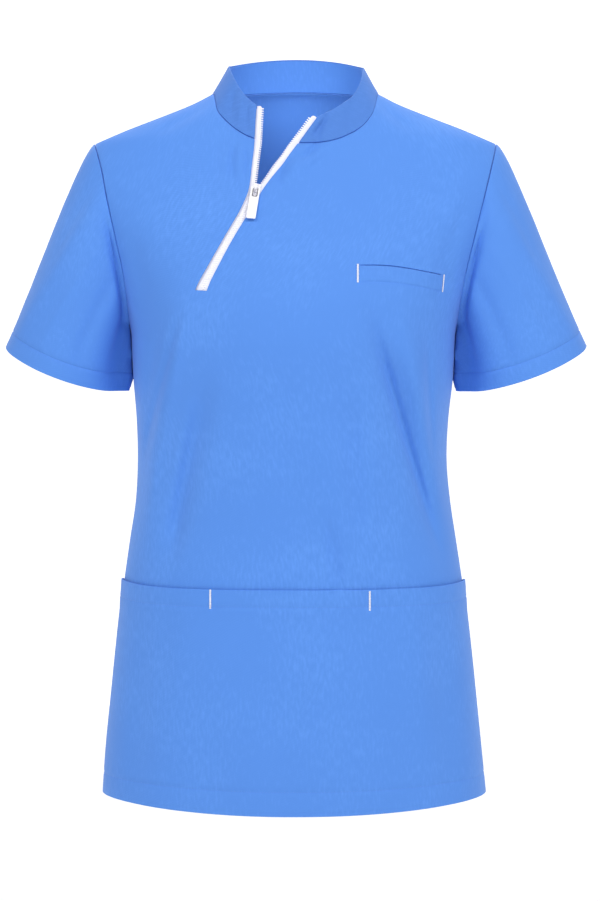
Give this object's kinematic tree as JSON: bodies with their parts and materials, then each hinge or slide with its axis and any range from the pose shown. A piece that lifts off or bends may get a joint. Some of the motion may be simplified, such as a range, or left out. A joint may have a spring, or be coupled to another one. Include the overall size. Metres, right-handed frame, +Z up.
{
  "type": "scrub top",
  "caption": "Hollow short-sleeved pullover work top with a stand collar, a slanting half-open front zip, a chest welt pocket and a full-width lower pocket panel.",
  "frame": {"origin": "middle of the neck, at the height where the shoulder seams meet the collar; the wearer's neck and shoulders hold the top there", "axes": "+Z up along the wearer's spine, the front faces -Y, +X is the wearer's left"},
  "size_m": [0.5816, 0.2769, 0.7441],
  "materials": {
    "cloth_blue": "matt woven",
    "cloth_blue_inner": "matt woven",
    "tape_white": "matt woven tape",
    "slider_white": "painted, satin",
    "pull_white": "moulded, satin"
  },
  "bodies": {
    "garment": {"front": "cloth_blue", "back": "cloth_blue", "sleeve_right": "cloth_blue", "sleeve_left": "cloth_blue", "collar_outer": "cloth_blue", "collar_inner": "cloth_blue_inner", "pocket_panel": "cloth_blue", "chest_welt": "cloth_blue", "zip_tape_right": "tape_white", "zip_tape_left": "tape_white", "zip_slider": "slider_white"},
    "pull_tab": {"zip_pull": "pull_white"}
  },
  "joints": [
    {"name": "pull_tab_swing", "type": "hinge", "parent": "garment", "child": "pull_tab", "pos_m": [-0.03827, -0.0965, -0.10172], "axis": [-0.9896, 0.0995, 0.104], "range_deg": [0, 150]}
  ]
}
